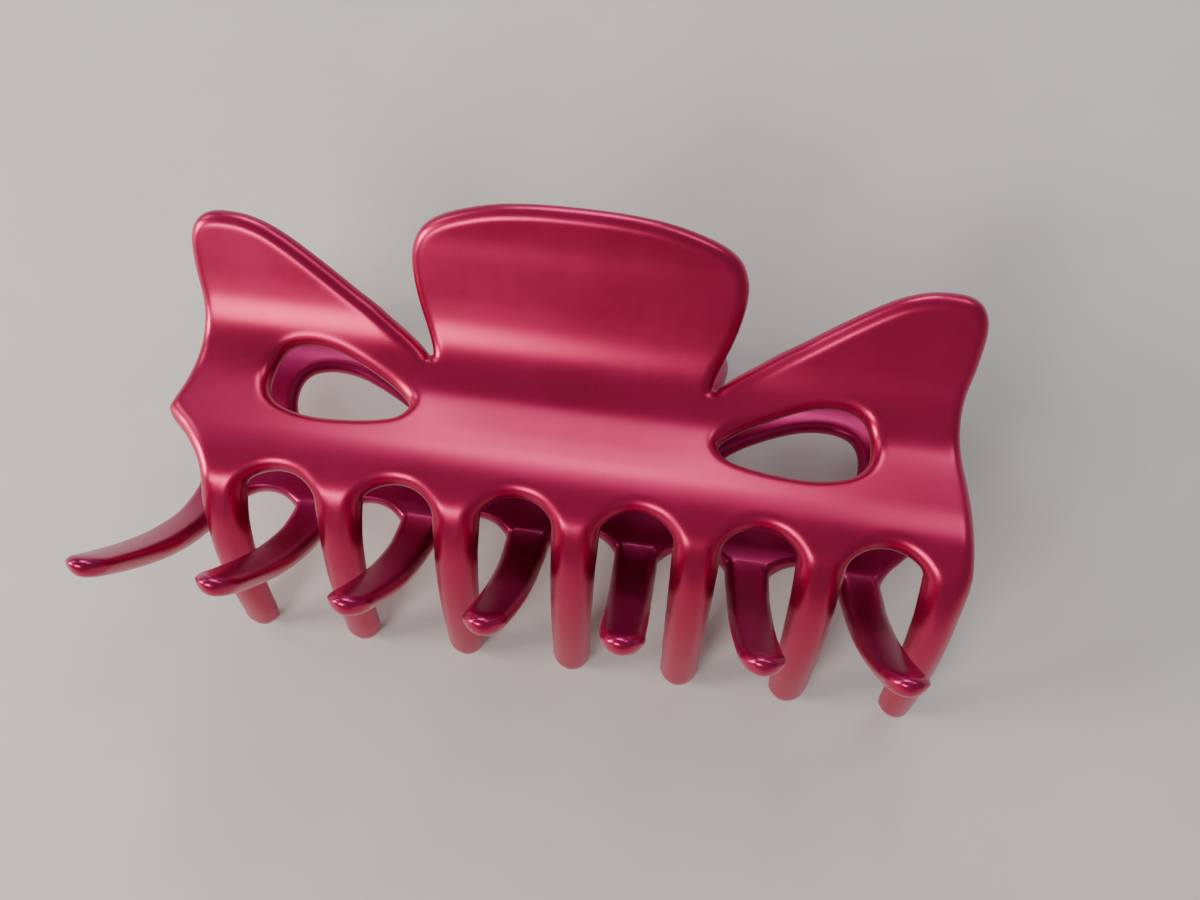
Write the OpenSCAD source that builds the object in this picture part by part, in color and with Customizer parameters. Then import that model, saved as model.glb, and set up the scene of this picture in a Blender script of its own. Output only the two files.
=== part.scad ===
// Butterfly claw hair clip: two moulded jaws on a steel pin, closed by a torsion spring.
// Each jaw is one S-shaped shell. The shell's side profile is a curve from the handle rim (s = 0)
// down through the waist to the tooth tips, and its outline is given as (x, s) on that curve.

/* [Jaws] */
// Distance from one tooth to the next at the roots
tooth_pitch = 11.7; // [11.5:0.05:11.75]
// Width of a tooth at its root
root_w = 4.7; // [4.4:0.1:4.8]
// Width of a tooth just above its rounded tip
tip_w = 4.3; // [3.8:0.1:4.4]
// Wall thickness of the shell at the waist and the wings
wall = 2.3; // [2:0.1:2.5]
// Thickness of a tooth where it leaves the shell
root_t = 3.1; // [2.8:0.1:3.2]

/* [Hinge] */
// Radius of the hinge pin
pin_r = 0.9; // [0.8:0.05:1]
// Running clearance on the radius in the back jaw's lugs
run_gap = 0.05; // [0.03:0.01:0.1]
// Radius of the hinge lugs
lug_r = 2.4; // [2.1:0.1:2.6]
// Width of the front jaw's lugs along the pin
outer_lug_w = 2.6; // [2:0.1:2.8]
// Width of the back jaw's lugs along the pin
inner_lug_w = 2.6; // [2:0.1:2.7]

/* [Spring] */
// Diameter of the spring wire
wire_d = 1.1; // [0.9:0.05:1.2]
// Whole turns in the coil
turns = 9; // [7:1:9]
// Length of each leg along its handle
leg_len = 8; // [6:1:9]

/* [Hidden] */
$fn = 48;

red = [0.64, 0.12, 0.25];
steel = [0.72, 0.72, 0.74];

half_len = 40.4;          // half the length of a jaw
hinge_z = 10;             // height of the hinge axis over the middle of the clip
face_tilt = -1.55;        // lean of the clip when it lies on its tooth tips and handle rim
row_h = 16.97;            // height of the clip's middle plane over the surface it lies on
row_y = 0.03;             // half the difference between its two ends
lug_gap = 0.3;            // side gap between lugs
front_lug_x = 12.4;       // middle of the front jaw's lugs
back_lug_x = front_lug_x - outer_lug_w / 2 - lug_gap - inner_lug_w / 2;
coil_half = back_lug_x - inner_lug_w / 2 - 0.5 - wire_d / 2;
tip_s = 64;               // where the rounded end of a tooth begins
rim_s = 2.6;              // handle rim at the middle of the handle

// Side profile of the outer face: (y, z), front jaw, from the handle rim to the tooth tips.
side = [[-19.2, 20.05], [-16.5, 18.9], [-14.2, 17.35], [-12.2, 15.55], [-10.3, 13.8], [-8.4, 12], [-6.8, 10.25],
        [-5.65, 8.3], [-5.15, 6.3], [-5.25, 4.2], [-6, 1.9], [-7, -0.4], [-8.1, -2.9], [-8.7, -5.6],
        [-8.25, -8.35], [-6.15, -10.85], [-2.8, -13.4], [2.1, -15.9], [7.2, -17.8], [12.6, -19.4], [18.2, -20.85]];
n = len(side);
cum = [for (i = 0, s = 0; i < n; s = s + (i < n - 1 ? norm(side[i + 1] - side[i]) : 0), i = i + 1) s];
slope = [for (i = [0:n - 1]) let (a = max(i - 1, 0), b = min(i + 1, n - 1))
         (side[b] - side[a]) / (cum[b] - cum[a])];
function seg(s, i = 0) = (i >= n - 2 || cum[i + 1] > s) ? i : seg(s, i + 1);
function outer_pt(s) = let (i = seg(s), h = cum[i + 1] - cum[i], t = (s - cum[i]) / h)
    (2 * t * t * t - 3 * t * t + 1) * side[i] + (t * t * t - 2 * t * t + t) * h * slope[i]
    + (3 * t * t - 2 * t * t * t) * side[i + 1] + (t * t * t - t * t) * h * slope[i + 1];
function inward(s) = let (d = outer_pt(s + 0.05) - outer_pt(s - 0.05)) [-d[1], d[0]] / norm(d);
function thick(s) = lookup(s, [[0, wall - 0.4], [5, wall - 0.1], [12, wall], [28, wall], [34, root_t],
                               [44, root_t - 0.1], [tip_s, 2]]);
function face_pt(s, depth) = outer_pt(s) + depth * inward(s);

// A smooth line through hand-set (x, s) points, m steps for each.
function smooth(p, m) = let (k = len(p)) [for (i = [0:k - 2], j = [0:m - 1])
    let (t = j / m, a = p[i], b = p[i + 1], ta = (b - p[max(i - 1, 0)]) / (i == 0 ? 1 : 2),
         tb = (p[min(i + 2, k - 1)] - a) / (i == k - 2 ? 1 : 2))
    (2 * t * t * t - 3 * t * t + 1) * a + (t * t * t - 2 * t * t + t) * ta
    + (3 * t * t - 2 * t * t * t) * b + (t * t * t - t * t) * tb, p[k - 1]];
function flip(p) = [for (i = [len(p) - 1:-1:0]) [-p[i][0], p[i][1]]];

// Three planes that the outline is cut in: square to the handle, to the windows and to the tips.
tilt = 42;
function to_handle(p) = [for (q = p) let (c = outer_pt(q[1])) [q[0], -c[0] * cos(tilt) + c[1] * sin(tilt)]];
function to_front(p) = [for (q = p) [q[0], outer_pt(q[1])[1]]];
function to_plan(p) = [for (q = p) [q[0], outer_pt(q[1])[0]]];

module along_x(w) { rotate([90, 0, 90]) translate([0, 0, -w / 2]) linear_extrude(height = w) children(); }
module cut_handle() { rotate([180 - tilt, 0, 0]) translate([0, 0, -9]) linear_extrude(height = 14) children(); }
module cut_front() { translate([0, 4, 0]) rotate([90, 0, 0]) linear_extrude(height = 17) children(); }
module cut_plan() { translate([0, 0, -24]) linear_extrude(height = 11.8) children(); }

// Half of the handle's edge from the middle of its rim to the notch, then the wing's edge.
handle_edge = [[0, rim_s], [4, rim_s + 0.1], [8, rim_s + 0.5], [11.4, 3.9], [14, 4.9], [15.7, 6.2], [16.5, 8], [16.65, 9.9],
               [16.4, 12], [15.9, 14.2], [15.2, 16.2], [14.55, 17.9], [14.3, 18.9]];
wing_edge = [[14.75, 18.9], [15.6, 18.2], [16.8, 17.4], [18.6, 16.3], [20.4, 15.1], [22.4, 13.8], [24.6, 12.2], [26.9, 10.5],
             [29.2, 8.9], [31.3, 7.7], [33.4, 7], [35.3, 6.8], [37, 6.9], [38.2, 7.4], [38.95, 8.3], [39.35, 9.4],
             [39.5, 10.8], [39.5, 15]];
// The end that is flush down to the last tooth, and the end with the cheek.
flush_edge = [[39.5, 7], [39.5, 10.8], [39.45, 12.6], [39.3, 14.5], [38.95, 16.6], [38.85, 18.4], [38.95, 20.4], [39.3, 22.6], [39.7, 24.9],
              [39.95, 27.2], [40.05, 29], [40.2, 32], [40.4, 36]];
end_edge = [[39.5, 7], [39.5, 10.8], [39.45, 12.6], [39.25, 14.4], [38.9, 16.4], [38.75, 18.4], [38.75, 20.4], [38.9, 22.6], [39.05, 24.9],
            [39.3, 27], [39.35, 28.2]];
window = [[30.5, 22.8], [30.3, 21.2], [29.5, 20], [28, 19.4], [26.2, 19.3], [24.2, 19.6], [22, 20.3], [19.8, 21.2],
          [17.9, 22.1], [16.5, 23], [15.7, 23.9], [15.8, 24.8], [16.7, 25.8], [18.4, 26.4], [20.6, 26.8],
          [22.8, 27], [24.8, 27], [26.6, 26.7], [28.3, 26.1], [29.5, 25.2], [30.2, 24.1], [30.5, 22.8]];
cheek_edge = [[39.35, 28.2], [38.7, 29], [37.7, 30], [36.7, 31], [35.8, 32.2], [35, 33.5], [34.45, 34.9], [34.25, 36.6]];

root_x = [for (k = [0:6]) (k - 3) * tooth_pitch + 3.15];
tip_x = [for (k = [0:6]) (k - 3) * (tooth_pitch + 0.3) + 2.6];
arch_s = 33.2;
arch_top = [33.9, 33.7, 33.3, 33.2, 33.2, 33.5];
function tooth_mid(k, s) = let (t = (s - arch_s) / (tip_s - arch_s)) root_x[k] * (1 - t) + tip_x[k] * t;
function tooth_half(s) = let (t = (s - arch_s) / (tip_s - arch_s)) (root_w * (1 - t) + tip_w * t) / 2;
function tooth_side(k, side_sign, s) = [tooth_mid(k, s) + side_sign * tooth_half(s), s];
// The round end of a tooth, from its side to its middle.
function tooth_end(k, g) = [for (a = [0:15:90]) let (r = tip_w / 2) [tip_x[k] + g * r * cos(a), tip_s - r + r * 1.326 * sin(a)]];

gap_r = (tooth_pitch - root_w) / 2 + 0.05;
// Upper part of the gap after tooth k: a round arch and two straight sides.
function gap_top(k) = let (s0 = arch_top[k] + gap_r, a = tooth_side(k, 1, s0)[0], b = tooth_side(k + 1, -1, s0)[0],
                           c = (a + b) / 2, w = (b - a) / 2)
    concat([for (a = [180:-15:0]) [c + w * cos(a), s0 - gap_r * sin(a)]],
           [for (s = [38:3:47]) tooth_side(k + 1, -1, s)], [tooth_side(k + 1, -1, 48.2), tooth_side(k, 1, 48.2)],
           [for (s = [47:-3:38]) tooth_side(k, 1, s)]);
// Lower part of the gap, with the round ends of the two teeth.
function gap_low(k) = concat([for (s = [47.8, 53, 58]) tooth_side(k, 1, s)], tooth_end(k, 1),
    [[tip_x[k], 69], [tip_x[k + 1], 69]], [for (i = [6:-1:0]) tooth_end(k + 1, -1)[i]],
    [for (s = [58, 53, 47.8]) tooth_side(k + 1, -1, s)]);

module shell() {
    ss = concat([0.2], [for (s = [1.2:1.2:tip_s - 0.5]) s], [tip_s]);
    cap = [for (a = [-75:15:75]) let (q = face_pt(tip_s, 1), v = inward(tip_s)) q + sin(a) * v + cos(a) * [v[1], -v[0]]];
    along_x(2 * half_len) polygon(concat([for (s = ss) face_pt(s, 0)], cap,
                                         [for (i = [len(ss) - 1:-1:0]) face_pt(ss[i], thick(ss[i]))]));
}

// Everything that the moulding leaves out of the plain shell.
module handle_and_wing_cut(k) {
    half = concat([for (p = smooth(handle_edge, 2)) [p[0] * (1 + (k - 1) * max(0, 1 - p[1] / 19)), p[1]]], smooth(wing_edge, 2));
    top = outer_pt(0.2);
    w_top = -top[0] * cos(tilt) + top[1] * sin(tilt) + 6;
    cut_handle() polygon(concat([[-45, w_top]], [[-45, to_handle([[0, 15]])[0][1]]], to_handle(flip(half)), to_handle(half),
                                [[45, to_handle([[0, 15]])[0][1]], [45, w_top]]));
}
module window_cut(g) { mirror([g < 0 ? 1 : 0, 0, 0]) cut_front() polygon(to_front(smooth(window, 2))); }
module end_cut(g) {
    mirror([g < 0 ? 1 : 0, 0, 0]) cut_front() polygon(concat(to_front(smooth(g < 0 ? end_edge : flush_edge, 2)),
        [[45, outer_pt(g < 0 ? 28.2 : 36)[1]], [45, outer_pt(7)[1]]]));
}
module gap_cuts() {
    for (k = [0:5]) {
        cut_front() polygon(to_front(gap_top(k)));
        cut_plan() polygon(to_plan(gap_low(k)));
    }
}
module cheek_cut() {
    cut_front() polygon(concat([for (p = to_front(smooth(cheek_edge, 2))) [-p[0], p[1]]],
        to_front([for (s = [38, 41, 44, 48.2]) tooth_side(0, -1, s)]),
        [[-45, outer_pt(48.2)[1]], [-45, outer_pt(28.2)[1]]]));
    cut_plan() polygon(to_plan(concat([for (s = [47.8, 53, 58]) tooth_side(0, -1, s)], tooth_end(0, -1),
        [[tip_x[0], 69], [-45, 69], [-45, 47.8]])));
}
module last_tip_cut() {
    cut_plan() polygon(to_plan(concat(tooth_end(6, 1), [[tip_x[6], 69], [45, 69], [45, tip_s - tip_w / 2]])));
}
// The narrow flat on the handle's rim that the clip lies on.
module rim_flat() {
    rotate([face_tilt, 0, 0]) translate([-25, -20 - row_h, 5]) cube([50, 20, 20]);
}

// A round lug on the pin with a web to the jaw's inner face.
module lug(w) {
    v = inward(18.6);
    t = [-v[1], v[0]];
    a = [0, hinge_z];
    along_x(w) union() {
        translate(a) circle(r = lug_r);
        polygon([a + 2.1 * t, a - 2.1 * t, a - 4.3 * v - 2.5 * t, a - 4.3 * v + 2.5 * t]);
    }
}
module pin_hole(r, l) { translate([-l / 2, 0, hinge_z]) rotate([0, 90, 0]) cylinder(h = l, r = r); }

module jaw(lug_x, lug_w, hole_r, handle_k) {
    difference() {
        union() {
            shell();
            for (g = [-1, 1]) translate([g * lug_x, 0, 0]) lug(lug_w);
        }
        handle_and_wing_cut(handle_k);
        for (g = [-1, 1]) { window_cut(g); end_cut(g); }
        gap_cuts();
        cheek_cut();
        last_tip_cut();
        rim_flat();
        pin_hole(hole_r, 60);
    }
}

// The clip lies on its back jaw's rim and its front jaw's tips, front jaw up.
module lay() { translate([0, -row_y, row_h]) rotate([-90 + face_tilt, 0, 0]) children(); }

module front_jaw() { color(red) lay() jaw(front_lug_x, outer_lug_w, pin_r, 1); }
module back_jaw() { color(red) lay() rotate([0, 0, 180]) jaw(back_lug_x, inner_lug_w, pin_r + run_gap, 0.9); }
module hinge_pin() {
    l = front_lug_x + outer_lug_w / 2 + 0.4;
    color(steel) lay() translate([0, 0, hinge_z]) rotate([0, 90, 0]) rotate_extrude()
        polygon([[0, -l], [pin_r - 0.2, -l], [pin_r, -l + 0.2], [pin_r, l - 0.2], [pin_r - 0.2, l], [0, l]]);
}

// Spring: a leg up the front handle, the coil, and a leg up the back handle.
coil_r = 3.05 - wire_d / 2;
start_a = 200;
total_a = 140 + 360 * turns;
function leg_pt(i) = let (s = 18.6 - i, gap = 0.08 + 0.35 * max(0, 1 - i / 4)) face_pt(s, thick(s) + wire_d / 2 + gap);
function leg(g) = [for (i = [1:leg_len]) let (q = leg_pt(i)) [-g * coil_half, g * q[0], q[1]]];
coil = [for (i = [0:total_a / 18]) let (a = start_a + min(i * 18, total_a), t = min(i * 18, total_a) / total_a)
        [-coil_half + 2 * coil_half * t, coil_r * cos(a), hinge_z + coil_r * sin(a)]];
route = concat([for (i = [leg_len - 1:-1:0]) leg(1)[i]], coil, leg(-1));
module tube(p, r, m) {
    k = len(p);
    ring = [for (i = [0:k - 1]) let (d = p[min(i + 1, k - 1)] - p[max(i - 1, 0)], t = d / norm(d),
            u = cross(t, [1, 0, 0]), u1 = u / norm(u), u2 = cross(t, u1))
            for (j = [0:m - 1]) p[i] + r * (cos(360 * j / m) * u1 + sin(360 * j / m) * u2)];
    faces = concat([[for (j = [m - 1:-1:0]) j]],
                   [for (i = [0:k - 2], j = [0:m - 1]) let (a = i * m + j, b = i * m + (j + 1) % m) [a, b, b + m, a + m]],
                   [[for (j = [0:m - 1]) (k - 1) * m + j]]);
    polyhedron(points = ring, faces = faces);
}
module torsion_spring() { color(steel) lay() tube(route, wire_d / 2, 8); }

back_jaw();
front_jaw();
hinge_pin();
torsion_spring();
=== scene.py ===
"""Looks for the butterfly claw hair clip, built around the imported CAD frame.

Each jaw is meshed from a distance field in the jaw's own unrolled space: x along the hinge, s along the
side profile from the handle rim to the tooth tips, n the depth below the outer face.  The mesh is then
bent along the profile and laid down in the row frame.  Lengths are in millimetres until the last step.
"""

import math

import bpy
import numpy as np
from mathutils import Matrix, Vector


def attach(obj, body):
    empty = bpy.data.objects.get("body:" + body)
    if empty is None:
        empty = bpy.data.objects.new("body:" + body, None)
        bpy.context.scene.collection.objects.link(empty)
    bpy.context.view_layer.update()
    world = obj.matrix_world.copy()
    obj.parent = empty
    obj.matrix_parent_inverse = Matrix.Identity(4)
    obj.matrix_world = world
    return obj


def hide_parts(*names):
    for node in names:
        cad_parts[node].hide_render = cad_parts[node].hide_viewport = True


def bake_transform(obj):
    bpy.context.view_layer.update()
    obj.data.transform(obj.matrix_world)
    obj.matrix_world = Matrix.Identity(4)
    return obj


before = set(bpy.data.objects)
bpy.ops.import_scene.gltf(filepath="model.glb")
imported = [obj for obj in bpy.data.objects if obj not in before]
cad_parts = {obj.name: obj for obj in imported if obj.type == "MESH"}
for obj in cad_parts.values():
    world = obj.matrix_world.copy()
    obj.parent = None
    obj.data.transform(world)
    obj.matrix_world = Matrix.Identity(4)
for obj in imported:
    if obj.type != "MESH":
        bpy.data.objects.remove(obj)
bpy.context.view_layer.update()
MM = 0.001

# ---------------------------------------------------------------- side profile and layout
SIDE = np.array([
    [-19.2, 20.05], [-16.5, 18.9], [-14.2, 17.35], [-12.2, 15.55], [-10.3, 13.8], [-8.4, 12], [-6.8, 10.25],
    [-5.65, 8.3], [-5.15, 6.3], [-5.25, 4.2], [-6, 1.9], [-7, -0.4], [-8.1, -2.9], [-8.7, -5.6],
    [-8.25, -8.35], [-6.15, -10.85], [-2.8, -13.4], [2.1, -15.9], [7.2, -17.8], [12.6, -19.4], [18.2, -20.85]], float)
CUM = np.concatenate([[0], np.cumsum(np.linalg.norm(np.diff(SIDE, axis=0), axis=1))])
LAST = len(SIDE) - 1
SLOPE = np.array([(SIDE[min(i + 1, LAST)] - SIDE[max(i - 1, 0)]) / (CUM[min(i + 1, LAST)] - CUM[max(i - 1, 0)])
                  for i in range(LAST + 1)])
WALL, ROOT_T, TIP_S, RIM_S, ARCH_S, HALF = 2.3, 3.1, 64.0, 2.6, 33.2, 40.4
PITCH, ROOT_W, TIP_W = 11.7, 4.7, 4.3
ARCH_TOP = [33.9, 33.7, 33.3, 33.2, 33.2, 33.5]
HINGE_Z, LUG_R, LUG_W = 10.0, 2.4, 2.6
FACE_TILT, ROW_H, ROW_Y = math.radians(-1.55), 16.97, 0.03


def profile(s):
    """Points (y, z) on the outer face at s, and the inward normals there."""
    s = np.asarray(s, float)
    c = np.clip(s, 0, CUM[-1])
    i = np.clip(np.searchsorted(CUM, c, side="right") - 1, 0, LAST - 1)
    h = CUM[i + 1] - CUM[i]
    t = (c - CUM[i]) / h
    a, b, ta, tb = SIDE[i], SIDE[i + 1], SLOPE[i], SLOPE[i + 1]
    t, h = t[..., None], h[..., None]
    p = ((2 * t**3 - 3 * t**2 + 1) * a + (t**3 - 2 * t**2 + t) * h * ta
         + (3 * t**2 - 2 * t**3) * b + (t**3 - t**2) * h * tb)
    d = ((6 * t**2 - 6 * t) * (a - b) / h + (3 * t**2 - 4 * t + 1) * ta + (3 * t**2 - 2 * t) * tb)
    d = d / np.linalg.norm(d, axis=-1)[..., None]
    p = p + (s - c)[..., None] * d
    return p, np.stack([-d[..., 1], d[..., 0]], -1)


# Smoothed profile: the table keeps the curvature continuous, so that long highlights run clean.
TAB_S = np.arange(-4, 70.001, 0.05)
_p, _n = profile(TAB_S)
_k = np.exp(-0.5 * (np.arange(-24, 25) * 0.05 / 0.45) ** 2)
_k /= _k.sum()


def _soft(a):
    pad = np.concatenate([2 * a[:1] - a[24:0:-1], a, 2 * a[-1:] - a[-2:-26:-1]])
    return np.stack([np.convolve(pad[:, j], _k, "valid") for j in range(a.shape[1])], 1)


TAB_P = _soft(_p)
_d = np.gradient(TAB_P, axis=0)
_d /= np.linalg.norm(_d, axis=1)[:, None]
TAB_N = np.stack([-_d[:, 1], _d[:, 0]], 1)


def bend(s, n):
    """(y, z) in the clip's frame of a point at profile length s and depth n."""
    y = np.interp(s, TAB_S, TAB_P[:, 0]) + n * np.interp(s, TAB_S, TAB_N[:, 0])
    z = np.interp(s, TAB_S, TAB_P[:, 1]) + n * np.interp(s, TAB_S, TAB_N[:, 1])
    return y, z


def lay(p):
    """From the clip's frame to the row frame, still in millimetres."""
    c, s = math.cos(FACE_TILT), math.sin(FACE_TILT)
    return np.stack([p[:, 0], p[:, 2] * c + p[:, 1] * s - ROW_Y, ROW_H - p[:, 1] * c + p[:, 2] * s], 1)


def eased(at, val, width):
    """A table over TAB_S of the line through the given values, with its corners eased."""
    line = np.interp(TAB_S, at, val)
    half = int(3 * width / 0.05)
    k = np.exp(-0.5 * (np.arange(-half, half + 1) * 0.05 / width) ** 2)
    return np.convolve(np.pad(line, half, mode="edge"), k / k.sum(), "valid")


TAB_T = eased([0, 5, 12, 28, 35, 44, TIP_S], [WALL - 0.4, WALL - 0.1, WALL, WALL, ROOT_T, ROOT_T - 0.1, 2.05], 1.6)
TAB_RO = eased([0, 10, 29, 37, 56, TIP_S], [1.0, 1.25, 1.3, 1.8, 1.5, 1.15], 1.6)
TAB_RI = eased([0, 10, 29, 37, 56, TIP_S], [0.75, 0.8, 0.8, 1.1, 0.85, 0.75], 1.6)


def thick(s):
    return np.interp(s, TAB_S, TAB_T)


def ramp(x, a, b):
    t = np.clip((x - a) / (b - a), 0, 1)
    return t * t * (3 - 2 * t)


# ---------------------------------------------------------------- outline, unrolled
def smooth(p, m=8):
    p = np.array(p, float)
    k, out = len(p), []
    for i in range(k - 1):
        a, b = p[i], p[i + 1]
        ta = (b - p[max(i - 1, 0)]) / (1 if i == 0 else 2)
        tb = (p[min(i + 2, k - 1)] - a) / (1 if i == k - 2 else 2)
        for j in range(m):
            t = j / m
            out.append((2 * t**3 - 3 * t**2 + 1) * a + (t**3 - 2 * t**2 + t) * ta
                       + (3 * t**2 - 2 * t**3) * b + (t**3 - t**2) * tb)
    out.append(p[-1])
    return np.array(out)


def smooth_ring(p, m=8):
    """A closed smooth line through p, whose last point repeats the first."""
    p = np.array(p[:-1], float)
    k, out = len(p), []
    for i in range(k):
        a, b, c, d = p[i - 1], p[i], p[(i + 1) % k], p[(i + 2) % k]
        for j in range(m):
            t = j / m
            out.append(0.5 * (2 * b + (c - a) * t + (2 * a - 5 * b + 4 * c - d) * t**2 + (3 * b - a - 3 * c + d) * t**3))
    return np.array(out)


handle_edge = [[0, RIM_S], [4, RIM_S + 0.1], [8, RIM_S + 0.5], [11.4, 3.9], [14, 4.9], [15.7, 6.2], [16.5, 8],
               [16.65, 9.9], [16.4, 12], [15.9, 14.2], [15.2, 16.2], [14.55, 17.9], [14.3, 18.9]]
wing_edge = [[14.75, 18.9], [15.6, 18.2], [16.8, 17.4], [18.6, 16.3], [20.4, 15.1], [22.4, 13.8], [24.6, 12.2],
             [26.9, 10.5], [29.2, 8.9], [31.3, 7.7], [33.4, 7], [35.3, 6.8], [37, 6.9], [38.2, 7.4], [38.95, 8.3],
             [39.35, 9.4], [39.5, 10.8]]
# The end that is flush down to the last tooth, and the end with the cheek.
flush_edge = [[39.45, 12.6], [39.3, 14.5], [38.95, 16.6], [38.85, 18.4], [38.95, 20.4], [39.3, 22.6], [39.7, 24.9],
              [39.95, 27.2], [40.05, 29], [40.2, 32], [40.4, 36]]
end_edge = [[39.45, 12.6], [39.25, 14.4], [38.9, 16.4], [38.75, 18.4], [38.75, 20.4], [38.9, 22.6], [39.05, 24.9],
            [39.3, 27], [39.35, 28.2]]
window = [[30.5, 22.8], [30.3, 21.2], [29.5, 20], [28, 19.4], [26.2, 19.3], [24.2, 19.6], [22, 20.3], [19.8, 21.2],
          [17.9, 22.1], [16.5, 23], [15.7, 23.9], [15.8, 24.8], [16.7, 25.8], [18.4, 26.4], [20.6, 26.8],
          [22.8, 27], [24.8, 27], [26.6, 26.7], [28.3, 26.1], [29.5, 25.2], [30.2, 24.1], [30.5, 22.8]]
cheek_edge = [[39.35, 28.2], [38.7, 29], [37.7, 30], [36.7, 31], [35.8, 32.2], [35, 33.5], [34.45, 34.9], [34.25, 36.6]]
root_x = [(k - 3) * PITCH + 3.15 for k in range(7)]
tip_x = [(k - 3) * (PITCH + 0.3) + 2.6 for k in range(7)]
GAP_R = (PITCH - ROOT_W) / 2 + 0.05


def tooth_side(k, g, s):
    t = (s - ARCH_S) / (TIP_S - ARCH_S)
    return [root_x[k] * (1 - t) + tip_x[k] * t + g * (ROOT_W * (1 - t) + TIP_W * t) / 2, s]


def tooth_end(k):
    """The round end of a tooth, from its +x side to its -x side."""
    r = TIP_W / 2
    return [[tip_x[k] + r * math.cos(a), TIP_S - r * 1.15 + r * 1.326 * math.sin(a)]
            for a in np.linspace(0, math.pi, 25)]


def make_outline(handle_k):
    """The closed outline of a jaw, whose handle is handle_k times as wide as the full one."""
    handle = smooth(handle_edge)
    handle[:, 0] *= 1 + (handle_k - 1) * np.clip(1 - handle[:, 1] / 19, 0, None)
    right = np.concatenate([handle, smooth(wing_edge + flush_edge)])
    left = np.concatenate([handle[1:], smooth(wing_edge + end_edge)[:-1], smooth(cheek_edge)])
    pts = right.tolist()
    pts += [[min(HALF, tooth_side(6, 1, s)[0]), s] for s in np.arange(38, 61, 2.0)]
    pts += [[min(HALF, p[0]), p[1]] for p in tooth_end(6)]
    for k in range(5, -1, -1):
        # up the -x side of tooth k + 1, over the arch, down the +x side of tooth k
        s0 = ARCH_TOP[k] + GAP_R
        pts += [tooth_side(k + 1, -1, s) for s in np.arange(60, s0 + 0.5, -2.0)]
        b, a = tooth_side(k + 1, -1, s0)[0], tooth_side(k, 1, s0)[0]
        c, w = (a + b) / 2, (b - a) / 2
        pts += [[c + w * math.cos(u), s0 - GAP_R * math.sin(u)] for u in np.linspace(0, math.pi, 41)]
        pts += [tooth_side(k, 1, s) for s in np.arange(40, 60.1, 2.0)]
        pts += tooth_end(k)
    pts += [tooth_side(0, -1, s) for s in np.arange(60, 38.9, -2.0)]
    pts += [[-p[0], p[1]] for p in left[::-1]]
    return np.array(pts)


X0, X1, S0, S1, TAB = -42.5, 42.5, -1.0, 67.5, 0.1
GX, GS = np.arange(X0, X1 + 1e-6, TAB), np.arange(S0, S1 + 1e-6, TAB)


def polygon_table(poly):
    """Signed distance to a closed polygon on the (GX, GS) table, negative inside, cut off at 4 mm."""
    a, b = poly, np.roll(poly, -1, 0)
    keep = np.linalg.norm(b - a, axis=1) > 1e-9
    a, b = a[keep], b[keep]
    far = 4.0
    d = np.full((len(GX), len(GS)), far)
    lo, hi = np.minimum(a, b), np.maximum(a, b)
    step = 60
    for i in range(0, len(GX), step):
        for j in range(0, len(GS), step):
            gx, gs = GX[i:i + step], GS[j:j + step]
            near = ((lo[:, 0] < gx[-1] + far) & (hi[:, 0] > gx[0] - far)
                    & (lo[:, 1] < gs[-1] + far) & (hi[:, 1] > gs[0] - far))
            if not near.any():
                continue
            p = np.stack(np.meshgrid(gx, gs, indexing="ij"), -1).reshape(-1, 1, 2)
            aa, e = a[near][None], (b - a)[near][None]
            t = np.clip(((p - aa) * e).sum(-1) / (e * e).sum(-1), 0, 1)
            q = p - aa - t[..., None] * e
            m = np.sqrt((q * q).sum(-1).min(1)).reshape(len(gx), len(gs))
            d[i:i + step, j:j + step] = np.minimum(d[i:i + step, j:j + step], m)
    inside = np.zeros(d.shape, bool)
    for j, s in enumerate(GS + 1e-7):
        hit = (a[:, 1] > s) != (b[:, 1] > s)
        x = a[hit, 0] + (s - a[hit, 1]) / (b[hit, 1] - a[hit, 1]) * (b[hit, 0] - a[hit, 0])
        inside[:, j] = np.searchsorted(np.sort(x), GX) % 2 == 1
    return np.where(inside, -d, d)


ring = smooth_ring(window)
HOLES = np.minimum(polygon_table(ring), polygon_table(ring * [-1, 1]))


def look(table, x, s):
    u, v = (x - X0) / TAB, (s - S0) / TAB
    i, j = np.clip(u.astype(int), 0, len(GX) - 2), np.clip(v.astype(int), 0, len(GS) - 2)
    fu, fv = np.clip(u - i, 0, 1), np.clip(v - j, 0, 1)
    return ((table[i, j] * (1 - fu) + table[i + 1, j] * fu) * (1 - fv)
            + (table[i, j + 1] * (1 - fu) + table[i + 1, j + 1] * fu) * fv)


def round_and(a, b, r):
    """Both a and b, with the corner between them rounded to radius r."""
    u, v = np.maximum(a + r, 0), np.maximum(b + r, 0)
    return np.minimum(np.maximum(a, b), -r) + np.sqrt(u * u + v * v)


def soft_or(a, b, k):
    h = np.maximum(k - np.abs(a - b), 0) / k
    return np.minimum(a, b) - h * h * k / 4


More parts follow.
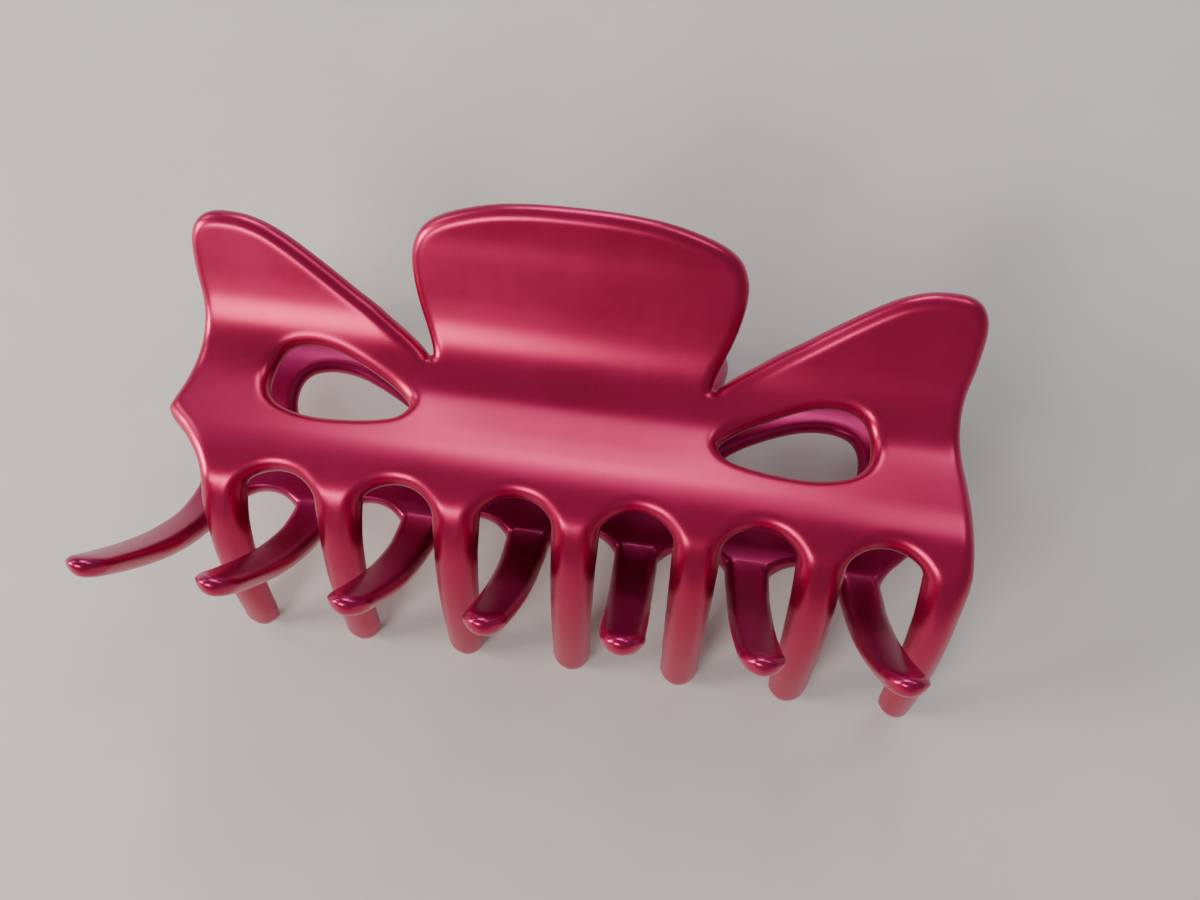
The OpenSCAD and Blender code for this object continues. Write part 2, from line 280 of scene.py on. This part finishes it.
def jaw_field(outline, lug_x, bore):
    """The distance field of one jaw."""
    v = np.array([np.interp(18.6, TAB_S, TAB_N[:, 0]), np.interp(18.6, TAB_S, TAB_N[:, 1])])
    t = np.array([-v[1], v[0]])
    axis = np.array([0, HINGE_Z])

    def f(x, s, n):
        edge = look(outline, x, s)
        hole = -look(HOLES, x, s)
        th = thick(s)
        tooth = ramp(s, ARCH_S + 1.5, ARCH_S + 9)
        near = np.maximum(edge, hole)
        q = np.clip(1 + edge / 2.3, 0, 1) * tooth
        top = 0.75 * q * q - n
        low = n - th + 0.3 * q * q
        r_out, r_in = np.interp(s, TAB_S, TAB_RO), np.interp(s, TAB_S, TAB_RI)
        shell = np.maximum(round_and(near, top, r_out), round_and(near, low, r_in))
        # hinge lugs with a web down to the inner face
        g = np.where(x < 0, -1.0, 1.0)
        side = np.abs(x - g * lug_x) - LUG_W / 2
        y, z = bend(s, n)
        py, pz = y - axis[0], z - axis[1]
        rad = np.sqrt(py * py + pz * pz)
        disc = rad - LUG_R
        along, across = -(py * v[0] + pz * v[1]), py * t[0] + pz * t[1]
        web = np.maximum(np.abs(across) - 2.1 - 0.09 * np.clip(along, 0, 5), np.maximum(-along, along - 4.6))
        lug = round_and(soft_or(disc, web, 0.5), side, 0.35)
        out = soft_or(shell, lug, 0.45)
        hole_r = bore + 0.22 * np.clip((np.abs(side + LUG_W / 2) - LUG_W / 2 + 0.22) / 0.22, 0, 1)
        return np.where(n > 0.8, np.maximum(out, np.where(side < 1.5, hole_r - rad, -9.0)), out)

    return f


def surface_nets(field, gx, gs, gn):
    """Vertices and quads of the field's zero surface, by averaging the crossings in each cell."""
    x, s, n = np.meshgrid(gx, gs, gn, indexing="ij")
    val = np.empty(x.shape)
    for i in range(0, len(gx), 24):  # in slabs, to keep memory low
        val[i:i + 24] = field(x[i:i + 24], s[i:i + 24], n[i:i + 24])
    inside = val < 0
    nx, ns, nn = val.shape
    cells = (nx - 1, ns - 1, nn - 1)
    total = cells[0] * cells[1] * cells[2]
    count = np.zeros(total)
    acc = np.zeros((total, 3))
    grids = (gx, gs, gn)
    quads = []
    for ax in range(3):
        a = [slice(None)] * 3
        b = [slice(None)] * 3
        a[ax], b[ax] = slice(0, -1), slice(1, None)
        cross = inside[tuple(a)] != inside[tuple(b)]
        idx = np.argwhere(cross)
        va, vb = val[tuple(a)][cross], val[tuple(b)][cross]
        t = va / (va - vb)
        pos = np.stack([grids[k][idx[:, k]] for k in range(3)], 1)
        pos[:, ax] += t * (grids[ax][idx[:, ax] + 1] - grids[ax][idx[:, ax]])
        o1, o2 = [k for k in range(3) if k != ax]
        for d1 in (0, -1):
            for d2 in (0, -1):
                c = idx.copy()
                c[:, o1] += d1
                c[:, o2] += d2
                flat = (c[:, 0] * cells[1] + c[:, 1]) * cells[2] + c[:, 2]
                count += np.bincount(flat, minlength=total)
                for k in range(3):
                    acc[:, k] += np.bincount(flat, weights=pos[:, k], minlength=total)
        base = (idx[:, 0] * cells[1] + idx[:, 1]) * cells[2] + idx[:, 2]
        stride = (cells[1] * cells[2], cells[2], 1)
        q = np.stack([base - stride[o1] - stride[o2], base - stride[o2], base, base - stride[o1]], 1)
        flip = inside[tuple(a)][cross] ^ (ax == 1)
        q[~flip] = q[~flip][:, ::-1]
        quads.append(q)
    used = np.flatnonzero(count)
    number = np.full(total, -1)
    number[used] = np.arange(len(used))
    verts = acc[used] / count[used][:, None]
    return verts, number[np.concatenate(quads)]


def settle(field, v, quads, rounds=3):
    """Moves the vertices onto the zero surface, and evens them out along it."""
    edges = np.concatenate([quads[:, [0, 1]], quads[:, [1, 2]], quads[:, [2, 3]], quads[:, [3, 0]]])
    deg = np.bincount(edges[:, 0], minlength=len(v)) + np.bincount(edges[:, 1], minlength=len(v))
    h = 0.02

    def grad(p):
        g = np.empty_like(p)
        for k in range(3):
            e = np.zeros(3)
            e[k] = h
            a, b = p + e, p - e
            g[:, k] = (field(a[:, 0], a[:, 1], a[:, 2]) - field(b[:, 0], b[:, 1], b[:, 2])) / (2 * h)
        return g

    def onto(p):
        val = field(p[:, 0], p[:, 1], p[:, 2])
        g = grad(p)
        step = -val[:, None] * g / np.maximum((g * g).sum(1), 0.2)[:, None]
        size = np.linalg.norm(step, axis=1)[:, None]
        return p + step * np.minimum(1, 0.12 / np.maximum(size, 1e-9)), g

    for _ in range(2):
        v, g = onto(v)
    for _ in range(rounds):
        mean = np.stack([np.bincount(edges[:, 0], weights=v[edges[:, 1], k], minlength=len(v))
                         + np.bincount(edges[:, 1], weights=v[edges[:, 0], k], minlength=len(v)) for k in range(3)], 1)
        move = (mean / deg[:, None] - v) * 0.5
        nrm = g / np.maximum(np.linalg.norm(g, axis=1), 1e-9)[:, None]
        v = v + move - (move * nrm).sum(1)[:, None] * nrm
        v, g = onto(v)
    return onto(v)[0]


def build_mesh(name, verts, faces, layers=None):
    """A smooth-shaded mesh object from arrays, verts in millimetres in the row frame."""
    me = bpy.data.meshes.new(name)
    verts, faces = np.asarray(verts, float) * MM, np.asarray(faces)
    m = faces.shape[1]
    me.vertices.add(len(verts))
    me.vertices.foreach_set("co", verts.astype(np.float32).ravel())
    me.loops.add(faces.size)
    me.loops.foreach_set("vertex_index", faces.astype(np.int32).ravel())
    me.polygons.add(len(faces))
    me.polygons.foreach_set("loop_start", np.arange(0, faces.size, m, dtype=np.int32))
    me.polygons.foreach_set("use_smooth", np.ones(len(faces), bool))
    me.update(calc_edges=True)
    me.validate()
    for key, val in (layers or {}).items():
        me.attributes.new(key, "FLOAT", "POINT").data.foreach_set("value", val.astype(np.float32))
    ob = bpy.data.objects.new(name, me)
    bpy.context.scene.collection.objects.link(ob)
    return ob


H = 0.3
JX = np.arange(-HALF - 0.75, HALF + 0.9, H)
JS = np.arange(1.6, 66.4, H)
JN = np.concatenate([np.arange(-0.55, 9.2, H)])


def build_jaw(name, lug_x, bore, turned, handle_k):
    outline = polygon_table(make_outline(handle_k))
    f = jaw_field(outline, lug_x, bore)
    v, q = surface_nets(f, JX, JS, JN)
    v = settle(f, v, q)
    x, s, n = v.T
    y, z = bend(s, n)
    p = np.stack([x, y, z], 1)
    if turned:
        p = p * [-1, -1, 1]
    edge = np.maximum(look(outline, x, s), -look(HOLES, x, s))
    th = thick(s)
    layers = {
        "rim": 1 - ramp(-edge, 0.0, 1.4),                     # 1 on the outline, 0 on the faces
        # the inner-face mask drives the painted shade in the plastic material
        "inner": ramp(n / th, 0.35, 0.9),                     # 1 on the inner face
        "tip": ramp(s, 61.5, 64.6),                           # 1 at the ends of the teeth
        "along": s / 65,
        "across": x / HALF * (-1 if turned else 1),
    }
    return build_mesh(name, lay(p), q, layers)


front = build_jaw("front_jaw_moulding", 12.4, 0.9, False, 1.0)
back = build_jaw("back_jaw_moulding", 9.5, 0.95, True, 0.9)


# ---------------------------------------------------------------- hinge pin and spring
def revolve(name, outline, m=48):
    """A closed turned part about the hinge axis: outline is (x, radius), from end to end."""
    a = np.linspace(0, 2 * math.pi, m, endpoint=False)
    rows = outline[1:-1]
    v = [[outline[0][0], 0, HINGE_Z]]
    v += [[x, r * math.cos(u), HINGE_Z + r * math.sin(u)] for x, r in rows for u in a]
    v += [[outline[-1][0], 0, HINGE_Z]]
    f = []
    k = len(rows)
    for j in range(m):
        j2 = (j + 1) % m
        f.append([0, 1 + j2, 1 + j, 1 + j])
        for i in range(k - 1):
            f.append([1 + i * m + j, 1 + i * m + j2, 1 + (i + 1) * m + j2, 1 + (i + 1) * m + j])
        f.append([1 + k * m, 1 + (k - 1) * m + j, 1 + (k - 1) * m + j2, 1 + (k - 1) * m + j2])
    return mixed_mesh(name, lay(np.array(v)), f)


def mixed_mesh(name, verts, faces):
    me = bpy.data.meshes.new(name)
    clean = []
    for f in faces:
        g = [f[i] for i in range(len(f)) if f[i] != f[i - 1]]
        clean.append(g)
    me.from_pydata([tuple(p) for p in np.asarray(verts) * MM], [], clean)
    me.polygons.foreach_set("use_smooth", np.ones(len(me.polygons), bool))
    me.validate()
    me.update()
    ob = bpy.data.objects.new(name, me)
    bpy.context.scene.collection.objects.link(ob)
    return ob


PIN_L, PIN_R = 12.4 + LUG_W / 2 + 0.4, 0.9
dome = [(PIN_L - 0.34 + 0.34 * math.sin(u), PIN_R - 0.02 - 0.4 * (1 - math.cos(u)) ** 1.0)
        for u in np.linspace(0, math.pi / 2 * 0.98, 8)]
half_pin = [(-(x), r) for x, r in dome[::-1]]
pin_rows = [(-PIN_L, 0)] + half_pin + [(-PIN_L + 0.5, PIN_R)] + [(x, PIN_R) for x in np.linspace(-12, 12, 13)] \
    + [(PIN_L - 0.5, PIN_R)] + dome + [(PIN_L, 0)]
pin = revolve("hinge_pin_rod", pin_rows)

WIRE, TURNS, COIL_R, START = 1.1, 9, 2.5, 200.0
TOTAL = 140 + 360 * TURNS
COIL_HALF = (12.4 - 1.3 - 0.3 - 1.3) - 1.3 - 0.5 - WIRE / 2


def leg(g):
    pts = []
    for i in range(1, 9):
        s = 18.6 - i
        gap = 0.08 + 0.35 * max(0, 1 - i / 4)
        y, z = bend(s, thick(s) + WIRE / 2 + gap)
        pts.append([-g * COIL_HALF, g * float(y), float(z)])
    return pts


def spring_route():
    coil = []
    m = int(TOTAL / 12)
    for i in range(m + 1):
        a = math.radians(START + TOTAL * i / m)
        t = i / m
        coil.append([-COIL_HALF + 2 * COIL_HALF * t, COIL_R * math.cos(a), HINGE_Z + COIL_R * math.sin(a)])
    return np.array(leg(1)[::-1] + coil + leg(-1))


def even(p, step):
    """Points at even steps along a smooth line through p."""
    q = smooth(p, 6)
    c = np.concatenate([[0], np.cumsum(np.linalg.norm(np.diff(q, axis=0), axis=1))])
    u = np.linspace(0, c[-1], int(c[-1] / step) + 1)
    return np.stack([np.interp(u, c, q[:, k]) for k in range(3)], 1)


def tube(name, p, r, m=16):
    d = np.gradient(p, axis=0)
    d /= np.linalg.norm(d, axis=1)[:, None]
    u = np.cross(d[0], [1.0, 0, 0])
    u /= np.linalg.norm(u)
    us = []
    for t in d:  # the frame is carried along the wire without twist
        u = u - (u @ t) * t
        u /= np.linalg.norm(u)
        us.append(u)
    us = np.array(us)
    vs = np.cross(d, us)
    a = np.linspace(0, 2 * math.pi, m, endpoint=False)
    rings, k = [], len(p)
    cap = [(-0.0, 0.0), (0.0, 0.55), (0.06, 0.8), (0.16, 0.94), (0.3, 1.0)]  # distance in from the end, share of r
    verts, faces, starts = [], [], []

    def ring(c, uu, vv, rr):
        starts.append(len(verts))
        for w in a:
            verts.append(c + rr * (math.cos(w) * uu + math.sin(w) * vv))

    verts.append(p[0].copy())
    for off, share in cap[1:]:
        ring(p[0] + d[0] * off, us[0], vs[0], r * share)
    for i in range(2, k - 2):
        ring(p[i], us[i], vs[i], r)
    for off, share in cap[:0:-1]:
        ring(p[-1] - d[-1] * off, us[-1], vs[-1], r * share)
    verts.append(p[-1].copy())
    last = len(verts) - 1
    for j in range(m):
        j2 = (j + 1) % m
        faces.append([0, starts[0] + j2, starts[0] + j])
        for x, y in zip(starts[:-1], starts[1:]):
            faces.append([x + j, x + j2, y + j2, y + j])
        faces.append([last, starts[-1] + j, starts[-1] + j2])
    return mixed_mesh(name, lay(np.array(verts)), faces)


spring = tube("torsion_spring_wire", even(spring_route(), 0.32), WIRE / 2)


# ---------------------------------------------------------------- materials
def nodes_of(mat):
    mat.use_nodes = True
    nt = mat.node_tree
    nt.nodes.clear()
    out = nt.nodes.new("ShaderNodeOutputMaterial")
    bsdf = nt.nodes.new("ShaderNodeBsdfPrincipled")
    nt.links.new(bsdf.outputs[0], out.inputs[0])
    return nt, bsdf


def node(nt, kind, **kw):
    n = nt.nodes.new(kind)
    for k, v in kw.items():
        setattr(n, k, v)
    return n


def attr(nt, name):
    n = node(nt, "ShaderNodeAttribute")
    n.attribute_name = name
    return n.outputs["Fac"]


def coords(nt, scale=(1, 1, 1)):
    t = node(nt, "ShaderNodeTexCoord")
    m = node(nt, "ShaderNodeMapping")
    m.inputs["Scale"].default_value = scale
    nt.links.new(t.outputs["Object"], m.inputs["Vector"])
    return m.outputs[0]


def noise(nt, vec, scale, detail=3, rough=0.5, dist=0.0):
    n = node(nt, "ShaderNodeTexNoise")
    n.inputs["Scale"].default_value = scale
    n.inputs["Detail"].default_value = detail
    n.inputs["Roughness"].default_value = rough
    n.inputs["Distortion"].default_value = dist
    nt.links.new(vec, n.inputs["Vector"])
    return n.outputs["Fac"]


def remap(nt, src, a, b, c, d, smooth_step=False):
    n = node(nt, "ShaderNodeMapRange")
    if smooth_step:
        n.interpolation_type = "SMOOTHSTEP"
    for k, v in zip(("From Min", "From Max", "To Min", "To Max"), (a, b, c, d)):
        n.inputs[k].default_value = v
    nt.links.new(src, n.inputs["Value"])
    return n.outputs[0]


def math_node(nt, op, a, b):
    n = node(nt, "ShaderNodeMath", operation=op)
    for i, v in enumerate((a, b)):
        if isinstance(v, (int, float)):
            n.inputs[i].default_value = v
        else:
            nt.links.new(v, n.inputs[i])
    return n.outputs[0]


def mix(nt, fac, a, b):
    n = node(nt, "ShaderNodeMix", data_type="RGBA")
    for sock, v in ((n.inputs[0], fac), (n.inputs[6], a), (n.inputs[7], b)):
        if isinstance(v, (int, float)):
            sock.default_value = v
        elif isinstance(v, tuple):
            sock.default_value = (*v, 1)
        else:
            nt.links.new(v, sock)
    return n.outputs[2]


def plastic():
    """Pearl crimson moulded plastic: satin metallic lacquer under a thin clear skin, with painted shade darkening the
    inner face.
    """
    mat = bpy.data.materials.new("pearl_crimson_plastic")
    nt, b = nodes_of(mat)
    vec = coords(nt)
    cloud = noise(nt, vec, 90, 3, 0.55)
    fleck = noise(nt, vec, 5200, 2, 0.6)
    flow = noise(nt, coords(nt, (1, 0.12, 0.12)), 900, 2, 0.5)
    col = mix(nt, remap(nt, cloud, 0.3, 0.7, 0, 1), (0.44, 0.008, 0.066), (0.50, 0.010, 0.084))
    col = mix(nt, remap(nt, fleck, 0.55, 0.75, 0, 0.25), col, (0.62, 0.03, 0.17))
    # painted shade: the inner face, turned to the other jaw, is darkened towards deep purple-red
    col = mix(nt, remap(nt, attr(nt, "inner"), 0, 1, 0, 0.4), col, (0.26, 0.010, 0.12))
    nt.links.new(col, b.inputs["Base Color"])
    b.inputs["Metallic"].default_value = 0.8
    rough = math_node(nt, "ADD", remap(nt, cloud, 0.3, 0.7, 0.30, 0.35), remap(nt, flow, 0.3, 0.7, -0.006, 0.009))
    rough = math_node(nt, "SUBTRACT", rough, math_node(nt, "MULTIPLY", attr(nt, "tip"), 0.06))
    nt.links.new(rough, b.inputs["Roughness"])
    b.inputs["IOR"].default_value = 1.5
    b.inputs["Coat Weight"].default_value = 0.15
    b.inputs["Coat Roughness"].default_value = 0.22
    bump = node(nt, "ShaderNodeBump")
    bump.inputs["Strength"].default_value = 0.12
    bump.inputs["Distance"].default_value = 0.00002
    height = math_node(nt, "ADD", noise(nt, vec, 1300, 3, 0.6), math_node(nt, "MULTIPLY", fleck, 0.5))
    nt.links.new(height, bump.inputs["Height"])
    nt.links.new(bump.outputs[0], b.inputs["Normal"])
    return mat


def steel(name, tint, rough, streak):
    mat = bpy.data.materials.new(name)
    nt, b = nodes_of(mat)
    vec = coords(nt, streak)
    fine = noise(nt, vec, 2200, 3, 0.6)
    cloud = noise(nt, coords(nt), 260, 3, 0.5)
    col = mix(nt, remap(nt, cloud, 0.35, 0.7, 0, 1), tint, tuple(c * 0.78 for c in tint))
    nt.links.new(col, b.inputs["Base Color"])
    b.inputs["Metallic"].default_value = 1.0
    nt.links.new(remap(nt, fine, 0.3, 0.7, rough - 0.06, rough + 0.1), b.inputs["Roughness"])
    bump = node(nt, "ShaderNodeBump")
    bump.inputs["Strength"].default_value = 0.25
    bump.inputs["Distance"].default_value = 0.00001
    nt.links.new(fine, bump.inputs["Height"])
    nt.links.new(bump.outputs[0], b.inputs["Normal"])
    return mat


crimson = plastic()
front.data.materials.append(crimson)
back.data.materials.append(crimson)
pin.data.materials.append(steel("drawn_steel", (0.62, 0.61, 0.60), 0.26, (0.1, 1, 1)))
spring.data.materials.append(steel("spring_wire_steel", (0.55, 0.54, 0.53), 0.3, (1, 1, 1)))

for ob, body, cad, slot in ((front, "front_half", "front_jaw", "jaw_plastic"), (back, "back_half", "back_jaw", "jaw_plastic"),
                            (pin, "front_half", "hinge_pin", "steel")):
    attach(ob, body)
    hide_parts(cad)
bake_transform(spring)
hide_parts("torsion_spring")


# ---------------------------------------------------------------- floor, light and camera
def floor():
    me = bpy.data.meshes.new("floor")
    r = 1.2
    me.from_pydata([(-r, -r, 0), (r, -r, 0), (r, r, 0), (-r, r, 0)], [], [(0, 1, 2, 3)])
    ob = bpy.data.objects.new("floor", me)
    bpy.context.scene.collection.objects.link(ob)
    mat = bpy.data.materials.new("pale_floor")
    nt, b = nodes_of(mat)
    n = noise(nt, coords(nt), 60, 3)
    nt.links.new(mix(nt, remap(nt, n, 0.3, 0.7, 0, 1), (0.66, 0.62, 0.56), (0.70, 0.66, 0.60)), b.inputs["Base Color"])
    b.inputs["Roughness"].default_value = 0.7
    me.materials.append(mat)


floor()


def area(name, at, size, power, colour, aim=(0, 0, 0.015), shape="RECTANGLE"):
    li = bpy.data.lights.new(name, "AREA")
    li.shape = shape
    li.size, li.size_y = size
    li.energy = power
    li.color = colour
    ob = bpy.data.objects.new(name, li)
    ob.location = at
    ob.rotation_mode = "QUATERNION"
    ob.rotation_quaternion = (Vector(aim) - Vector(at)).to_track_quat("-Z", "Y")
    bpy.context.scene.collection.objects.link(ob)
    return ob


area("key_softbox", (-0.24, -0.42, 0.43), (0.26, 0.22), 1.9, (1.0, 0.95, 0.97))
area("left_softbox", (-0.59, -0.10, 0.24), (0.24, 0.20), 3.4, (1.0, 0.90, 0.88))
area("back_window", (-0.07, 0.56, 0.33), (0.28, 0.20), 1.3, (0.84, 0.88, 1.0))
area("back_right", (0.25, 0.43, 0.42), (0.24, 0.20), 0.6, (0.86, 0.90, 1.0))
area("back_left", (-0.49, 0.28, 0.33), (0.24, 0.20), 0.6, (0.88, 0.92, 1.0))

world = bpy.data.worlds.new("studio")
bpy.context.scene.world = world
world.use_nodes = True
wn = world.node_tree
wn.nodes["Background"].inputs[0].default_value = (0.80, 0.82, 0.86, 1)
wn.nodes["Background"].inputs[1].default_value = 0.36

cam_data = bpy.data.cameras.new("camera")
cam = bpy.data.objects.new("camera", cam_data)
bpy.context.scene.collection.objects.link(cam)
cam_data.sensor_fit = "HORIZONTAL"
cam_data.sensor_width = 36
cam_data.lens = 33.675
cam_data.clip_start, cam_data.clip_end = 0.005, 20
right = Vector((0.98779, 0.14474, -0.05764))
up = Vector((-0.12793, 0.96470, 0.23019))
ahead = Vector((-0.08892, 0.22001, -0.97144))
rot = Matrix((right, up, -ahead)).transposed()
cam.matrix_world = Matrix.Translation(Vector((13.996, -24.061, 129.583)) * MM) @ rot.to_4x4()
bpy.context.scene.camera = cam
